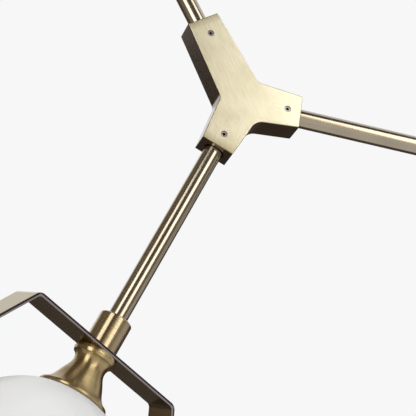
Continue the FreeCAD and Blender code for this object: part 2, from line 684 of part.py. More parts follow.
def make_canopy_ring():
    """Ring on the coupling that holds the canopy up against the ceiling."""
    low = canopy_bottom - CANOPY_RING_HEIGHT
    ring = pipe(CANOPY_RING_RADIUS, canopy_hole, low, canopy_bottom)
    outer_edge = max(edges_at_height(ring, low), key=lambda e: e.Length)
    ring = ring.makeFillet(COLLAR_EDGE_ROUND, [outer_edge])
    return ring.cut(set_screw_hole(ring_screw_point(), FRONT, CANOPY_RING_RADIUS - tube_radius))


def make_ring_screw():
    length = CANOPY_RING_RADIUS - canopy_hole + CANOPY_CLEARANCE - SET_SCREW_SINK - SET_SCREW_TIP_GAP
    return set_screw(ring_screw_point(), FRONT, length)


def make_trunk_tube(length, first_arm, second_arm, first_depth, second_depth):
    """Tube between two blocks, drawn upwards from the middle of the first one."""
    low = first_arm - first_depth + END_CLEARANCE
    high = length - second_arm + second_depth - END_CLEARANCE
    return pipe(tube_radius, tube_bore_radius, low, high)


# ---- places of the trunk's blocks ---------------------------------------------------------------
elbow_place = Vector(0, 0, -ELBOW_DROP)
upper_hub_place = elbow_place + direction(180 + TRUNK_LEAN) * UPPER_TRUNK_RUN
lower_hub_place = upper_hub_place + direction(180 - TRUNK_LEAN) * LOWER_TRUNK_RUN

# The long arm of each hub points back up the trunk.
upper_hub_turn = TRUNK_LEAN
lower_hub_turn = -TRUNK_LEAN

# Each lamp: its hub, the direction of its arm, and how far its band is turned about the arm.
lamps = {
    "left": (upper_hub_place, upper_hub_turn - HUB_ARM_TURN, LEFT_BAND_TURN),
    "right": (lower_hub_place, lower_hub_turn + HUB_ARM_TURN, RIGHT_BAND_TURN),
    "bottom": (lower_hub_place, lower_hub_turn - HUB_ARM_TURN, BOTTOM_BAND_TURN),
}

head_pieces = {
    "arm_tube": make_arm_tube(),
    "collar": make_collar(),
    "hexagon_band": make_band(),
    "globe_fitter": make_fitter(),
    "threaded_rod": make_rod(),
    "lock_nut": make_nut(-nut_start),
    "glass_ring": make_globe_ring(),
    "lampholder": make_lampholder(),
    "bulb": make_bulb(),
    "opal_globe": make_globe(),
}

nodes = {
    "ceiling_crossbar": make_crossbar(),
    "mounting_rod": make_mounting_rod(),
    "mounting_nuts": make_mounting_nuts(),
    "ground_screw": make_ground_screw(),
    "terminal_block": make_terminal_block(),
    "stem_coupling": make_stem_coupling(),
    "coupling_set_screw": make_coupling_screw(),
    "canopy": make_canopy(),
    "canopy_ring": make_canopy_ring(),
    "canopy_ring_screw": make_ring_screw(),
    "stem": make_stem(),
    "trunk_elbow": moved(make_elbow(), 0, elbow_place),
    "elbow_set_screws": moved(screws_for(elbow_arms), 0, elbow_place),
    "upper_hub": moved(make_hub(), upper_hub_turn, upper_hub_place),
    "upper_hub_set_screws": moved(screws_for(hub_arms), upper_hub_turn, upper_hub_place),
    "lower_hub": moved(make_hub(), lower_hub_turn, lower_hub_place),
    "lower_hub_set_screws": moved(screws_for(hub_arms), lower_hub_turn, lower_hub_place),
    "upper_trunk_tube": moved(
        make_trunk_tube(UPPER_TRUNK_RUN, HUB_LONG_ARM, ELBOW_ARM, HUB_SOCKET_DEPTH, ELBOW_SOCKET_DEPTH),
        TRUNK_LEAN, upper_hub_place),
    "lower_trunk_tube": moved(
        make_trunk_tube(LOWER_TRUNK_RUN, HUB_LONG_ARM, HUB_SHORT_ARM, HUB_SOCKET_DEPTH, HUB_SOCKET_DEPTH),
        -TRUNK_LEAN, lower_hub_place),
}

for lamp, (hub_place, arm_direction, band_turn) in lamps.items():
    for piece, shape in head_pieces.items():
        turned = shape.copy()
        turned.rotate(HOME, UP, band_turn)
        nodes[lamp + "_" + piece] = moved(turned, arm_direction - 180, hub_place)

os.makedirs("parts", exist_ok=True)
for name, shape in nodes.items():
    if not shape.isValid():
        raise RuntimeError(name + " is not a valid shape")
    shape.exportStep("parts/" + name + ".step")
print(len(nodes), "nodes")
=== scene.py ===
import bpy
import json
import math
from mathutils import Matrix, Vector

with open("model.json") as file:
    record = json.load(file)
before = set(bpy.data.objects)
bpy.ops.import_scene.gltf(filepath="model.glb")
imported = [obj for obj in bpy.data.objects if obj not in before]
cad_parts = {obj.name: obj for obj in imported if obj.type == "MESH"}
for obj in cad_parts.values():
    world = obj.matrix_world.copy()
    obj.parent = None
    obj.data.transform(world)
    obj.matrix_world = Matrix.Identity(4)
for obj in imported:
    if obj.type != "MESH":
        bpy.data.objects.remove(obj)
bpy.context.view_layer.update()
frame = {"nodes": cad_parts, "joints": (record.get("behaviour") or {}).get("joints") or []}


# ---- ceiling crossbar, mounting rod, lock nuts and ground screw ----------------------------------
# A bent steel strap that is screwed to the ceiling box, with a threaded rod, its nuts and a green
# screw. Steel with bright zinc plating: cool grey, with a faint mottled spangle.

MM = 0.001
SPANGLE = 2.5             # mm across one patch of the plating


def linear(hex_colour):
    """Linear colour from an sRGB hex value."""
    parts = [int(hex_colour[k:k + 2], 16) / 255 for k in (1, 3, 5)]
    return [p / 12.92 if p <= 0.04045 else ((p + 0.055) / 1.055) ** 2.4 for p in parts] + [1.0]


def add(tree, kind, inputs=None, **settings):
    """Adds a shader node with these settings.

    Each input takes a value, an sRGB hex colour, a socket, or a node for its first output.
    """
    made = tree.nodes.new("ShaderNode" + kind)
    for name, value in settings.items():
        setattr(made, name, value)
    for key, value in (inputs or {}).items():
        if isinstance(value, bpy.types.Node):
            value = value.outputs[0]
        if isinstance(value, bpy.types.NodeSocket):
            tree.links.new(value, made.inputs[key])
        else:
            made.inputs[key].default_value = linear(value) if isinstance(value, str) else value
    return made


def finish_of(name):
    """New material and its tree, with nothing in it."""
    material = bpy.data.materials.new(name)
    material.use_nodes = True
    material.node_tree.nodes.clear()
    return material, material.node_tree


def surface(tree, inputs):
    """Gives the material a principled surface with these inputs."""
    shader = add(tree, "BsdfPrincipled", inputs)
    add(tree, "OutputMaterial", {"Surface": shader})


def dress(material, *names):
    """Puts a material on CAD nodes."""
    for name in names:
        for slot in frame["nodes"][name].material_slots:
            slot.material = material


def mottle(tree, size_mm):
    """Soft cloudy pattern with patches of this size."""
    place = add(tree, "TexCoord").outputs["Object"]
    return add(tree, "TexNoise", {"Vector": place, "Scale": 1 / (size_mm * MM), "Detail": 3.0})


def edges(tree, width_mm):
    """1 on outside and inside edges, falling to 0 this far from them."""
    rounded = add(tree, "Bevel", {"Radius": width_mm * MM}, samples=6)
    flat = add(tree, "NewGeometry").outputs["Normal"]
    agreement = add(tree, "VectorMath", {0: rounded, 1: flat}, operation="DOT_PRODUCT").outputs["Value"]
    return add(tree, "MapRange", {0: agreement, 1: 0.98, 2: 0.85})


def along(tree, axis, point):
    """How far each spot lies from this point along an axis."""
    place = add(tree, "TexCoord").outputs["Object"]
    offset = add(tree, "VectorMath", {0: place, 1: point}, operation="SUBTRACT")
    return add(tree, "VectorMath", {0: offset, 1: axis}, operation="DOT_PRODUCT").outputs["Value"]


def zinc_plated_steel():
    """Bright zinc plating on steel: two cool greys in small patches, the darker ones less dull."""
    material, tree = finish_of("zinc_plated_steel")
    spangle = mottle(tree, SPANGLE)
    patches = add(tree, "MapRange", {0: spangle, 1: 0.35, 2: 0.65})
    surface(tree, {
        "Base Color": add(tree, "MixRGB", {0: patches, 1: "#B4B8BA", 2: "#CFD2D2"}),
        "Metallic": 1.0,
        "Roughness": add(tree, "MapRange", {0: spangle, 1: 0.3, 2: 0.7, 3: 0.24, 4: 0.38}),
    })
    return material


THREAD_PITCH = 1.0        # mm, as on lamp rod
THREAD_DEPTH = 0.5
UP = Vector((0, 0, 1))


def zinc_thread(name, axis, point):
    """Plated rod with a rolled thread round this axis: bright crests, and dull roots darkened by painted
    shade.
    """
    material, tree = finish_of(name)
    side = axis.orthogonal().normalized()
    out = along(tree, side, point)
    across = along(tree, axis.cross(side), point)
    angle = add(tree, "Math", {0: across, 1: out}, operation="ARCTAN2")
    lead = add(tree, "Math", {0: angle, 1: 2 * math.pi}, operation="DIVIDE")
    climb = add(tree, "Math", {0: along(tree, axis, point), 1: THREAD_PITCH * MM}, operation="DIVIDE")
    turns = add(tree, "Math", {0: climb, 1: lead}, operation="ADD")
    # The height is 0 in the roots and 0.5 on the crests, so the relief is scaled to twice the depth.
    height = add(tree, "Math", {0: turns, 1: 0.5}, operation="PINGPONG")
    scale = 2 * THREAD_DEPTH * MM
    # Painted shade: the roots get a darker grey, for the shade down in the thread.
    crests = add(tree, "MapRange", {0: height, 1: 0.05, 2: 0.35})
    surface(tree, {
        "Base Color": add(tree, "MixRGB", {0: crests, 1: "#7D8082", 2: "#CFD2D2"}),
        "Metallic": 1.0,
        "Roughness": add(tree, "MapRange", {0: height, 1: 0.0, 2: 0.5, 3: 0.45, 4: 0.28}),
        "Normal": add(tree, "Bump", {"Strength": 1.0, "Distance": scale, "Height": height}),
    })
    return material


zinc = zinc_plated_steel()
dress(zinc, "ceiling_crossbar", "mounting_nuts")
dress(zinc_thread("zinc_plated_mounting_thread", UP, Vector((0, 0, 0))), "mounting_rod")


LACQUER_WEAR = 0.5        # mm of bare steel along the edges
LACQUER_RIPPLE = 1.0      # mm


def green_lacquer():
    """Lacquered screw head: green film over steel, rubbed through at the edges."""
    material, tree = finish_of("green_lacquered_steel")
    wear = edges(tree, LACQUER_WEAR)
    ripple = mottle(tree, LACQUER_RIPPLE)
    surface(tree, {
        "Base Color": add(tree, "MixRGB", {0: wear, 1: "#1F6B38", 2: "#9DA39C"}),
        "Metallic": add(tree, "MapRange", {0: wear, 3: 0.2, 4: 0.9}),
        "Roughness": add(tree, "MapRange", {0: ripple, 1: 0.3, 2: 0.7, 3: 0.3, 4: 0.45}),
    })
    return material


dress(green_lacquer(), "ground_screw")


# ---- terminal block ------------------------------------------------------------------------------
# Three-way connector moulded in white nylon: slightly see-through at thin walls, with a fine
# moulded grain.

MOULD_GRAIN = 0.6         # mm
MOULD_GRAIN_DEPTH = 0.04
NYLON_CLOUD = 9.0
NYLON_GLOW_DEPTH = 2.0    # how far light spreads under the skin


def moulded_nylon():
    """Milky white nylon with a dull skin, a fine grain and a slight cloudiness."""
    material, tree = finish_of("white_nylon")
    grain = mottle(tree, MOULD_GRAIN)
    surface(tree, {
        "Base Color": add(tree, "MixRGB", {0: mottle(tree, NYLON_CLOUD), 1: "#E4E3DA", 2: "#EFEEE8"}),
        "Roughness": add(tree, "MapRange", {0: grain, 1: 0.3, 2: 0.7, 3: 0.42, 4: 0.55}),
        "IOR": 1.53,
        "Subsurface Weight": 0.2,
        "Subsurface Scale": NYLON_GLOW_DEPTH * MM,
        "Normal": add(tree, "Bump", {"Strength": 0.3, "Distance": MOULD_GRAIN_DEPTH * MM, "Height": grain}),
    })
    return material


dress(moulded_nylon(), "terminal_block")


# ---- stem, trunk tubes and arm tubes -------------------------------------------------------------
# Half-inch drawn brass tube with a brown antique patina under clear lacquer. Drawing leaves fine
# lines along the tube, so that the patina shows long faint streaks and the gleam stays sharp.

DRAW_LINE_LENGTH = 70.0   # mm
DRAW_LINE_WIDTH = 0.8     # real lines are near 0.1 mm, and are drawn coarser so that they show
TUBE_CLOUD = 18.0


def streaks(tree, axis, along_mm, across_mm, detail=2.0):
    """Noise whose patches are this long along an axis and this wide across it."""
    place = add(tree, "TexCoord").outputs["Object"]
    side = axis.orthogonal().normalized()
    ways = (axis / along_mm, side / across_mm, axis.cross(side) / across_mm)
    parts = {}
    for part, way in enumerate(ways):
        scaled = add(tree, "VectorMath", {0: place, 1: way / MM}, operation="DOT_PRODUCT")
        parts[part] = scaled.outputs["Value"]
    vector = add(tree, "CombineXYZ", parts)
    return add(tree, "TexNoise", {"Vector": vector, "Scale": 1.0, "Detail": detail})


def drawn_brass(name, axis):
    """Brown patina on drawn tube that runs along this axis."""
    material, tree = finish_of(name)
    lines = streaks(tree, axis, DRAW_LINE_LENGTH, DRAW_LINE_WIDTH)
    clouds = add(tree, "MapRange", {0: mottle(tree, TUBE_CLOUD), 1: 0.3, 2: 0.7})
    toned = add(tree, "MixRGB", {0: clouds, 1: "#A99C87", 2: "#B3A792"})
    dark_lines = add(tree, "MapRange", {0: lines, 1: 0.5, 2: 0.75, 4: 0.35})
    surface(tree, {
        "Base Color": add(tree, "MixRGB", {0: dark_lines, 1: toned, 2: "#8B7D68"}),
        "Metallic": 1.0,
        "Roughness": add(tree, "MapRange", {0: lines, 1: 0.3, 2: 0.7, 3: 0.16, 4: 0.19}),
        "Coat Weight": 0.9,
        "Coat Roughness": 0.11,
    })
    return material


TRUNK_LEAN = math.radians(27.5)     # of each trunk tube from the upright
joints = {joint["name"]: joint for joint in frame["joints"]}
lamps = ("left", "right", "bottom")
arm_axis = {lamp: Vector(joints[lamp + "_lamp_turn"]["axis"]).normalized() for lamp in lamps}
upper_trunk_axis = Vector((math.sin(TRUNK_LEAN), 0, math.cos(TRUNK_LEAN)))
lower_trunk_axis = Vector((-math.sin(TRUNK_LEAN), 0, math.cos(TRUNK_LEAN)))

dress(drawn_brass("drawn_brass_stem", UP), "stem")
dress(drawn_brass("drawn_brass_upper_trunk", upper_trunk_axis), "upper_trunk_tube")
dress(drawn_brass("drawn_brass_lower_trunk", lower_trunk_axis), "lower_trunk_tube")
for lamp, axis in arm_axis.items():
    dress(drawn_brass("drawn_brass_" + lamp + "_arm", axis), lamp + "_arm_tube")


# ---- stem coupling, canopy ring and collars ------------------------------------------------------
# Turned brass, antiqued and lacquered. The lathe and the brush leave fine rings around the axis,
# so that the gleam is broader and duller than on the drawn tube.

TURNING_MARK = 0.7        # mm; real marks are near 0.1 mm, and are drawn coarser so that they show
TURNING_RUN = 25.0
TURNED_CLOUD = 26.0
TONED_EDGE = 0.5
GLEAM_SPREAD = 0.02       # how far the marks move the roughness to either side
GRAIN_TILT = 0.02         # keeps the direction of the gleam clear of the end faces' own normals


def turned_brass(name, axis, tones, gleam):
    """Antique brass with turning marks around this axis, which stretch the gleam along it.

    Tones are pale, deep, turning marks and edges; gleam is roughness, coat and its roughness.
    """
    pale, deep, mark, edge = tones
    roughness, coat, coat_roughness = gleam
    material, tree = finish_of(name)
    rings = streaks(tree, axis, TURNING_MARK, TURNING_RUN, 3.0)
    tilted = axis + axis.orthogonal() * GRAIN_TILT
    grain = add(tree, "VectorTransform", {0: tilted},
                vector_type="VECTOR", convert_from="OBJECT", convert_to="WORLD")
    clouds = add(tree, "MapRange", {0: mottle(tree, TURNED_CLOUD), 1: 0.3, 2: 0.7})
    toned = add(tree, "MixRGB", {0: clouds, 1: deep, 2: pale})
    marks = add(tree, "MapRange", {0: rings, 1: 0.5, 2: 0.8, 4: 0.3})
    ringed = add(tree, "MixRGB", {0: marks, 1: toned, 2: mark})
    low = roughness - GLEAM_SPREAD
    high = roughness + GLEAM_SPREAD
    surface(tree, {
        "Base Color": add(tree, "MixRGB", {0: edges(tree, TONED_EDGE), 1: ringed, 2: edge}),
        "Metallic": 1.0,
        "Roughness": add(tree, "MapRange", {0: rings, 1: 0.3, 2: 0.7, 3: low, 4: high}),
        "Anisotropic": 0.9,
        "Tangent": grain,
        "Coat Weight": coat,
        "Coat Roughness": coat_roughness,
    })
    return material


COLLAR_TONES = ("#C0AC88", "#A89572", "#7A6848", "#8F794C")
COLLAR_GLEAM = (0.25, 0.75, 0.12)
dress(turned_brass("turned_brass_upright", UP, COLLAR_TONES, COLLAR_GLEAM), "stem_coupling", "canopy_ring")
for lamp, axis in arm_axis.items():
    name = "turned_brass_" + lamp + "_collar"
    dress(turned_brass(name, axis, COLLAR_TONES, COLLAR_GLEAM), lamp + "_collar")


# ---- canopy --------------------------------------------------------------------------------------
# Cup spun from sheet brass, then antiqued and lacquered. Spinning leaves rings around its axis,
# and a gleam that is a little broader than on the collars.

CANOPY_GLEAM = (0.3, 0.6, 0.18)
dress(turned_brass("spun_brass_canopy", UP, COLLAR_TONES, CANOPY_GLEAM), "canopy")


# ---- globe fitters -------------------------------------------------------------------------------
# Trumpets turned from solid brass, antiqued and lacquered. Fine rings run round the flare, and
# the patina stays dark along the bead's edge, in the cove and along the rim.

FITTER_TONES = ("#C4AE7E", "#A8936A", "#6E5B3F", "#54432F")
FITTER_GLEAM = (0.32, 0.2, 0.2)
for lamp, axis in arm_axis.items():
    name = "turned_brass_" + lamp + "_fitter"
    dress(turned_brass(name, axis, FITTER_TONES, FITTER_GLEAM), lamp + "_globe_fitter")


# ---- hubs and elbow ------------------------------------------------------------------------------
# Cast brass blocks, all lacquered. Their front and back are brushed along each arm down to pale
# brass, duller at the edges and given a painted highlight; painted shade darkens the ends that
# grip a trunk tube or the bottom lamp's arm. The sides keep a dark antique tone and painted shade.

BRUSH_LINE_LENGTH = 13.0  # mm
BRUSH_LINE_WIDTH = 0.45   # real brushing is near 0.1 mm, and is drawn coarser so that it shows
BRUSH_DEPTH = 0.008
BRUSH_TURN_START = 8.0    # from the middle of the block to where the brushing turns along an arm
BRUSH_TURN_END = 18.0
SCUFF_LENGTH = 7.0
SCUFF_WIDTH = 1.1
TARNISH_PATCH = 22.0
END_SHADE_LENGTH = 6.0
DULL_EDGE = 1.0
BLOCK_SIDE_CLOUD = 7.0


def brushed_brass(name, centre, axes, painted_shade_ends):
    """Brushed block whose arms leave its centre along these axes.

    Painted shade ends are the axis and length of each arm that painted shade darkens towards its end.
    """
    material, tree = finish_of(name)
    lines = streaks(tree, axes[0], BRUSH_LINE_LENGTH, BRUSH_LINE_WIDTH, 3.0)
    for axis in axes[1:]:
        distance = along(tree, axis, centre)
        turned = add(tree, "MapRange", {0: distance, 1: BRUSH_TURN_START * MM, 2: BRUSH_TURN_END * MM})
        other = streaks(tree, axis, BRUSH_LINE_LENGTH, BRUSH_LINE_WIDTH, 3.0)
        lines = add(tree, "Mix", {0: turned, 2: lines, 3: other})
    brushing = add(tree, "MapRange", {0: lines, 1: 0.35, 2: 0.7})
    scratches = streaks(tree, axes[0], SCUFF_LENGTH, SCUFF_WIDTH)
    scuffs = add(tree, "MapRange", {0: scratches, 1: 0.5, 2: 0.8, 4: 0.3})
    tarnish = add(tree, "MapRange", {0: mottle(tree, TARNISH_PATCH), 1: 0.45, 2: 0.7, 4: 0.45})
    # The pale face tones are partly the brushed brass and partly a painted highlight.
    face = add(tree, "MixRGB", {0: brushing, 1: "#DDD5B9", 2: "#D0C7A9"})
    face = add(tree, "MixRGB", {0: scuffs, 1: face, 2: "#A89C7E"})
    face = add(tree, "MixRGB", {0: tarnish, 1: face, 2: "#B9AE8D"})
    # Painted shade: each listed arm darkens over its last few millimetres, for the shade on its rounded
    # end.
    for axis, length in painted_shade_ends:
        distance = along(tree, axis, centre)
        shade = add(tree, "MapRange", {0: distance, 1: length - END_SHADE_LENGTH * MM, 2: length, 4: 0.6})
        face = add(tree, "MixRGB", {0: shade, 1: face, 2: "#8E7C50"})
    face = add(tree, "MixRGB", {0: edges(tree, DULL_EDGE), 1: face, 2: "#8E7C50"})
    clouds = add(tree, "MapRange", {0: mottle(tree, BLOCK_SIDE_CLOUD), 1: 0.3, 2: 0.7})
    # The dark side tones are partly antique patina and partly painted shade.
    side = add(tree, "MixRGB", {0: clouds, 1: "#6C5B45", 2: "#7D6C53"})
    front_part = add(tree, "SeparateXYZ", {0: add(tree, "TexCoord").outputs["Normal"]}).outputs["Y"]
    facing = add(tree, "Math", {0: front_part}, operation="ABSOLUTE")
    on_face = add(tree, "MapRange", {0: facing, 1: 0.6, 2: 0.95})
    surface(tree, {
        "Base Color": add(tree, "MixRGB", {0: on_face, 1: side, 2: face}),
        "Metallic": 1.0,
        "Roughness": add(tree, "MapRange", {0: on_face, 3: 0.2, 4: 0.3}),
        "Coat Weight": 0.6,
        "Coat Roughness": 0.18,
        "Normal": add(tree, "Bump", {"Strength": 0.3, "Distance": BRUSH_DEPTH * MM, "Height": lines}),
    })
    return material


HUB_SHORT_ARM = 39.0 * MM
HUB_LONG_ARM = 61.7 * MM


def hub_centre(lamp):
    """Middle of the hub that a lamp's arm leaves."""
    return Vector(joints[lamp + "_lamp_turn"]["pos_m"]) - arm_axis[lamp] * HUB_SHORT_ARM


lower_hub_at = hub_centre("bottom")
upper_hub_at = hub_centre("left")
elbow_at = Vector((0, 0, upper_hub_at.z - upper_hub_at.x / math.tan(TRUNK_LEAN)))
hubs = (
    ("lower_hub", lower_hub_at, (lower_trunk_axis, arm_axis["right"], arm_axis["bottom"])),
    ("upper_hub", upper_hub_at, (upper_trunk_axis, arm_axis["left"], -lower_trunk_axis)),
)
for hub, centre, axes in hubs:
    painted_shade_ends = ((axes[0], HUB_LONG_ARM), (axes[2], HUB_SHORT_ARM))
    dress(brushed_brass("brushed_brass_" + hub, centre, axes, painted_shade_ends), hub)
dress(brushed_brass("brushed_brass_elbow", elbow_at, (UP, -upper_trunk_axis), ()), "trunk_elbow")


# ---- set screws ----------------------------------------------------------------------------------
# Hex-socket set screws that clamp the tubes in their sockets. Hardened steel with black oxide:
# smooth and greyer on the rim, with painted shade making it dark down in the socket.

OXIDE_CLOUD = 1.2         # mm
SOCKET_SHADE = 1.5        # how near a wall has to be for the painted shade to darken the steel


def blackened_steel():
    """Black oxide steel, grey where it lies open, with painted shade darkening it where walls stand close
    by.
    """
    material, tree = finish_of("blackened_steel")
    tint = mottle(tree, OXIDE_CLOUD)
    openness = add(tree, "AmbientOcclusion", {"Distance": SOCKET_SHADE * MM}, samples=8).outputs["AO"]
    # Painted shade: close to walls, as down in the socket, the steel is painted near black.
    clear_of_painted_shade = add(tree, "MapRange", {0: openness, 1: 0.55, 2: 0.85})
    rim = add(tree, "MixRGB", {0: tint, 1: "#989194", 2: "#B2ABAD"})
    surface(tree, {
        "Base Color": add(tree, "MixRGB", {0: clear_of_painted_shade, 1: "#161314", 2: rim}),
        "Metallic": 1.0,
        "Roughness": add(tree, "MapRange", {0: tint, 1: 0.3, 2: 0.7, 3: 0.18, 4: 0.3}),
    })
    return material


dress(blackened_steel(), "coupling_set_screw", "canopy_ring_screw", "elbow_set_screws",
      "upper_hub_set_screws", "lower_hub_set_screws")


# ---- hexagonal bands -----------------------------------------------------------------------------
# Flat brass bar bent into a hexagon, with a dark antique patina that is brushed lengthwise. Its
# outside is rubbed paler, and its narrow edges are grey with a nearly black outer half.

BAR_LINE_WIDTH = 0.7      # mm; real brushing is near 0.1 mm, and is drawn coarser so that it shows
BAR_LINE_LENGTH = 28.0
BAR_LINE_DEPTH = 0.015
BAR_CLOUD = 14.0
RUBBED_START = 0.3        # under the outside face, where the rubbed tone begins
RUBBED_FULL = 0.1
BLACK_START = 1.5         # and where an edge begins to turn black
BLACK_FULL = 1.1
BAND_SIDE = 125.0 * MM    # outer side of the hexagon
BAND_OUTSIDE = BAND_SIDE * math.cos(math.radians(30))
BAND_START = 193.4 * MM   # from the hub's centre to the outside face that the collar holds
BAND_TURN = {"left": -30.0, "right": 12.0, "bottom": 30.4}     # degrees about the arm
FRONT = Vector((0, -1, 0))


def largest(tree, values):
    """Largest of several values."""
    most = values[0]
    for value in values[1:]:
        most = add(tree, "Math", {0: most, 1: value}, operation="MAXIMUM")
    return most


def patinated_bar(name, width_axis, centre, side_normals):
    """Dark bar that is brushed lengthwise, so across this axis, and bent round this centre."""
    material, tree = finish_of(name)
    lines = streaks(tree, width_axis, BAR_LINE_WIDTH, BAR_LINE_LENGTH, 3.0)
    clouds = add(tree, "MapRange", {0: mottle(tree, BAR_CLOUD), 1: 0.3, 2: 0.7})
    toned = add(tree, "MixRGB", {0: clouds, 1: "#8C7C62", 2: "#9C8C70"})
    dark_lines = add(tree, "MapRange", {0: lines, 1: 0.45, 2: 0.75, 4: 0.35})
    lined = add(tree, "MixRGB", {0: dark_lines, 1: toned, 2: "#6F6049"})
    offsets = [along(tree, normal, centre) for normal in side_normals]
    reach = largest(tree, [add(tree, "Math", {0: offset}, operation="ABSOLUTE") for offset in offsets])
    depth = add(tree, "Math", {0: BAND_OUTSIDE, 1: reach}, operation="SUBTRACT")
    rubbed = add(tree, "MapRange", {0: depth, 1: RUBBED_START * MM, 2: RUBBED_FULL * MM})
    broad_face = add(tree, "MixRGB", {0: rubbed, 1: lined, 2: "#AC9D74"})
    black = add(tree, "MapRange", {0: depth, 1: BLACK_START * MM, 2: BLACK_FULL * MM})
    narrow_edge = add(tree, "MixRGB", {0: black, 1: "#9A9094", 2: "#2A2422"})
    normal = add(tree, "TexCoord").outputs["Normal"]
    tilt = add(tree, "VectorMath", {0: normal, 1: width_axis}, operation="DOT_PRODUCT").outputs["Value"]
    facing = add(tree, "Math", {0: tilt}, operation="ABSOLUTE")
    on_edge = add(tree, "MapRange", {0: facing, 1: 0.6, 2: 0.9})
    surface(tree, {
        "Base Color": add(tree, "MixRGB", {0: on_edge, 1: broad_face, 2: narrow_edge}),
        "Metallic": 1.0,
        "Roughness": add(tree, "MapRange", {0: on_edge, 3: 0.24, 4: 0.42}),
        "Coat Weight": 0.5,
        "Coat Roughness": 0.16,
        "Normal": add(tree, "Bump", {"Strength": 0.35, "Distance": BAR_LINE_DEPTH * MM, "Height": lines}),
    })
    return material


for lamp, axis in arm_axis.items():
    width_axis = Matrix.Rotation(math.radians(-BAND_TURN[lamp]), 3, axis) @ FRONT
    side_normals = [Matrix.Rotation(math.radians(60 * k), 3, width_axis) @ axis for k in range(3)]
    centre = hub_centre(lamp) + axis * (BAND_START + BAND_OUTSIDE)
    name = "patinated_brass_bar_" + lamp
    dress(patinated_bar(name, width_axis, centre, side_normals), lamp + "_hexagon_band")


# ---- threaded rods, lock nuts and glass rings ----------------------------------------------------
# Hidden hardware of each head: zinc-plated rod and nut, and a turned aluminium ring for the glass,
# bright grey with a fine uneven dullness.

ALUMINIUM_CLOUD = 1.5     # mm


def turned_aluminium():
    """Plain turned aluminium: bright grey, and dull in small patches."""
    material, tree = finish_of("turned_aluminium")
    tint = mottle(tree, ALUMINIUM_CLOUD)
    surface(tree, {
        "Base Color": add(tree, "MixRGB", {0: tint, 1: "#C6C7C9", 2: "#D6D6D8"}),
        "Metallic": 1.0,
        "Roughness": add(tree, "MapRange", {0: tint, 1: 0.3, 2: 0.7, 3: 0.25, 4: 0.36}),
    })
    return material


aluminium = turned_aluminium()
for lamp, axis in arm_axis.items():
    dress(zinc_thread("zinc_plated_" + lamp + "_thread", axis, hub_centre(lamp)), lamp + "_threaded_rod")
    dress(zinc, lamp + "_lock_nut")
    dress(aluminium, lamp + "_glass_ring")


# ---- lampholders ---------------------------------------------------------------------------------
# Pressed steatite, fired without glaze and held on the end of the threaded rod. It looks chalky
# off-white, with fine specks.

SPECK = 0.5               # mm
SPECK_DEPTH = 0.03


def fired_steatite():
    """Unglazed ceramic: matt, off-white and finely specked."""
    material, tree = finish_of("fired_steatite")
    specks = mottle(tree, SPECK)
    darker = add(tree, "MapRange", {0: specks, 1: 0.4, 2: 0.8})
    surface(tree, {
        "Base Color": add(tree, "MixRGB", {0: darker, 1: "#ECE8DC", 2: "#D9D3C3"}),
        "Roughness": add(tree, "MapRange", {0: specks, 1: 0.3, 2: 0.7, 3: 0.6, 4: 0.75}),
        "IOR": 1.6,
        "Normal": add(tree, "Bump", {"Strength": 0.3, "Distance": SPECK_DEPTH * MM, "Height": specks}),
    })
    return material


steatite = fired_steatite()
for lamp in lamps:
    dress(steatite, lamp + "_lampholder")


# ---- bulbs ---------------------------------------------------------------------------------------
# Two-pin capsule bulb that plugs into the lampholder. Its envelope is acid-frosted quartz, which
# scatters light with a soft milky look.

FROST_GRAIN = 0.8         # mm; real frost is finer, and is drawn coarser so that it shows


def frosted_quartz():
    """Milky quartz that lets much of the light through, with a dull skin."""
    material, tree = finish_of("frosted_quartz")
    frost = mottle(tree, FROST_GRAIN)
    surface(tree, {
        "Base Color": add(tree, "MixRGB", {0: frost, 1: "#F2F2EC", 2: "#FAFAF6"}),
        "Roughness": add(tree, "MapRange", {0: frost, 1: 0.3, 2: 0.7, 3: 0.35, 4: 0.5}),
        "IOR": 1.46,
        "Transmission Weight": 0.6,
    })
    return material


quartz = frosted_quartz()
for lamp in lamps:
    dress(quartz, lamp + "_bulb")


# ---- opal globes ---------------------------------------------------------------------------------
# Mouth-blown three-layer opal glass with an acid-etched satin skin: soft white all through, a
# dull gleam, and a very slight cloudiness.

OPAL_CLOUD = 30.0         # mm
ETCH_GRAIN = 0.8          # real etching is finer, and is drawn coarser so that it shows
ETCH_DEPTH = 0.03
OPAL_GLOW_DEPTH = 10.0    # how far light spreads in the glass


def satin_opal():
    """White glass that glows softly in the shade, with a dull etched gleam."""
    material, tree = finish_of("satin_opal_glass")
    clouds = add(tree, "MapRange", {0: mottle(tree, OPAL_CLOUD), 1: 0.3, 2: 0.7})
    skin = mottle(tree, ETCH_GRAIN)
    surface(tree, {
        "Base Color": add(tree, "MixRGB", {0: clouds, 1: "#F0F0EE", 2: "#F4F4F2"}),
        "Roughness": add(tree, "MapRange", {0: skin, 1: 0.3, 2: 0.7, 3: 0.42, 4: 0.5}),
        "IOR": 1.5,
        "Subsurface Weight": 0.3,
        "Subsurface Scale": OPAL_GLOW_DEPTH * MM,
        "Subsurface Radius": (1.0, 1.0, 1.0),
        "Normal": add(tree, "Bump", {"Strength": 0.05, "Distance": ETCH_DEPTH * MM, "Height": skin}),
    })
    return material


opal = satin_opal()
for lamp in lamps:
    dress(opal, lamp + "_opal_globe")


# ---- camera --------------------------------------------------------------------------------------
# Long lens in front of the object, low and a little to the left. It looks up at the lower hub,
# and is tipped by less than half a degree.

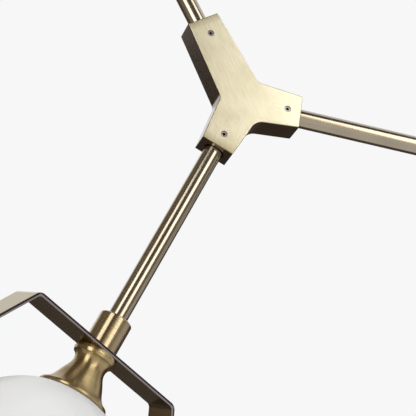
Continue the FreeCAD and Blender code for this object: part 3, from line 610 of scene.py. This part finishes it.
CAMERA_BEARING = 14.202   # degrees that it looks to the right of straight back
CAMERA_TILT = 19.103      # upwards
CAMERA_ROLL = 0.418
camera_place = Matrix.Translation((-0.14094, -0.88260, -1.16403))
level = Matrix.Rotation(math.radians(-CAMERA_BEARING), 4, "Z")
raised = Matrix.Rotation(math.radians(90 + CAMERA_TILT), 4, "X")
rolled = Matrix.Rotation(math.radians(CAMERA_ROLL), 4, "Z")
camera = bpy.data.objects.new("photo_camera", bpy.data.cameras.new("photo_camera"))
bpy.context.scene.collection.objects.link(camera)
camera.matrix_world = camera_place @ level @ raised @ rolled
camera.data.sensor_width = 36.0
camera.data.lens = 129.86
camera.data.clip_start = 0.05
camera.data.clip_end = 100.0
bpy.context.scene.camera = camera


# ---- studio --------------------------------------------------------------------------------------
# A pale floor, a white background, two tall softboxes in front, and toned cards that only show
# in the metal, as they are set up around polished brass to give it its contrast.

bpy.context.scene.view_settings.view_transform = "Standard"
BACKGROUND = "#F7F7F8"
WORLD_FILL = 0.5          # how much of the background lights the object
FLOOR_TONE = "#6A6A6C"    # what the floor gives back of the lamps' light
FLOOR_GLOW = 0.70         # and how much of the background's white it adds where it is seen
FLOOR_SIZE = 60.0         # metres, as are all sizes of the studio
FLOOR_HEIGHT = -1.45


def seen_directly(tree):
    """1 for rays from the camera, from glossy metal and through glass."""
    path = add(tree, "LightPath")
    kinds = ("Is Camera Ray", "Is Glossy Ray", "Is Transmission Ray")
    return largest(tree, [path.outputs[kind] for kind in kinds])


world = bpy.data.worlds.new("white_studio")
bpy.context.scene.world = world
world.use_nodes = True
sky = world.node_tree
sky.nodes.clear()
shown = add(sky, "Background", {0: BACKGROUND, 1: 1.0})
filling = add(sky, "Background", {0: BACKGROUND, 1: WORLD_FILL})
add(sky, "OutputWorld", {0: add(sky, "MixShader", {0: seen_directly(sky), 1: filling, 2: shown})})


def panel(name, width, height, matrix):
    """Flat rectangle of the studio, square to its own Z axis."""
    mesh = bpy.data.meshes.new(name)
    x, y = width / 2, height / 2
    mesh.from_pydata([(-x, -y, 0), (x, -y, 0), (x, y, 0), (-x, y, 0)], [], [(0, 1, 2, 3)])
    made = bpy.data.objects.new(name, mesh)
    bpy.context.scene.collection.objects.link(made)
    made.matrix_world = matrix
    return made


floor = panel("studio_floor", FLOOR_SIZE, FLOOR_SIZE, Matrix.Translation((0, 0, FLOOR_HEIGHT)))
floor_material, floor_tree = finish_of("pale_floor")
matt = add(floor_tree, "BsdfDiffuse", {0: FLOOR_TONE})
glow = add(floor_tree, "Emission", {0: BACKGROUND, 1: FLOOR_GLOW})
dark = add(floor_tree, "Emission", {0: "#000000", 1: 0.0})
lift = add(floor_tree, "MixShader", {0: seen_directly(floor_tree), 1: dark, 2: glow})
lit = add(floor_tree, "AddShader", {0: matt, 1: lift})
clear = add(floor_tree, "BsdfTransparent")
below = add(floor_tree, "NewGeometry").outputs["Backfacing"]
add(floor_tree, "OutputMaterial", {0: add(floor_tree, "MixShader", {0: below, 1: lit, 2: clear})})
floor.data.materials.append(floor_material)


def aimed(azimuth, elevation, distance, roll=0.0):
    """Matrix at this bearing from the lower hub (0 is in front, 90 to the right) that looks at it."""
    tipped = Matrix.Rotation(math.radians(-elevation), 3, "X") @ FRONT
    away = Matrix.Rotation(math.radians(azimuth), 3, "Z") @ tipped
    facing = (-away).to_track_quat("-Z", "Y").to_matrix().to_4x4()
    spin = Matrix.Rotation(math.radians(roll), 4, "Z")
    return Matrix.Translation(lower_hub_at + away * distance) @ facing @ spin


SOFTBOX_RADIANCE = 3.0    # about three times as bright as the white background
SOFTBOX_DISTANCE = 2.5


def softbox(name, width, height, matrix):
    """Rectangular lamp of even brightness."""
    data = bpy.data.lights.new(name, "AREA")
    data.shape = "RECTANGLE"
    data.size = width
    data.size_y = height
    data.energy = SOFTBOX_RADIANCE * math.pi * width * height
    made = bpy.data.objects.new(name, data)
    bpy.context.scene.collection.objects.link(made)
    made.matrix_world = matrix
    made.visible_camera = False


softbox("right_softbox", 0.94, 3.0, aimed(28.7, 19, SOFTBOX_DISTANCE))
softbox("left_softbox", 1.06, 3.2, aimed(-39.2, 18, SOFTBOX_DISTANCE, -23))


def toned_card(name, colour, width, height, matrix):
    """Card that is only seen in glossy reflections."""
    material, tree = finish_of(name + "_paint")
    add(tree, "OutputMaterial", {0: add(tree, "Emission", {0: colour, 1: 1.0})})
    made = panel(name, width, height, matrix)
    made.data.materials.append(material)
    made.visible_camera = False
    made.visible_diffuse = False
    made.visible_shadow = False
    made.visible_transmission = False
    made.visible_volume_scatter = False


toned_card("front_card", "#5C5650", 5.2, 4.4, aimed(-5, 14, 3.2))
toned_card("left_card", "#7E7262", 4.4, 6.0, aimed(-95, 22, 3.0))
toned_card("right_low_card", "#C0BBB6", 2.6, 2.4, aimed(88, -8, 3.2))
toned_card("right_gap_card", "#7A736A", 1.3, 2.6, aimed(56, -8, 3.0))
toned_card("top_card", "#4A443F", 3.6, 1.9, aimed(4, 57, 2.4))
toned_card("front_low_card", "#EADFBE", 1.5, 1.7, aimed(6, -8, 2.6))

REAR_TONE = "#544C44"
REAR_WIDTH = 8.0
REAR_DISTANCE = 1.7
REAR_TOP = 0.38           # above the lower hub
rear_height = lower_hub_at.z + REAR_TOP - FLOOR_HEIGHT
upright = Matrix.Rotation(math.radians(90), 4, "X")
rear_middle = Vector((lower_hub_at.x, REAR_DISTANCE, FLOOR_HEIGHT + rear_height / 2))
toned_card("rear_card", REAR_TONE, REAR_WIDTH, rear_height, Matrix.Translation(rear_middle) @ upright)

LYING_WIDTH = 6.0
LYING_DEPTH = 1.65
LYING_START = 0.35        # behind the middle of the object
LYING_LIFT = 0.01
lying_middle = Vector((lower_hub_at.x, LYING_START + LYING_DEPTH / 2, FLOOR_HEIGHT + LYING_LIFT))
toned_card("rear_floor_card", REAR_TONE, LYING_WIDTH, LYING_DEPTH, Matrix.Translation(lying_middle))
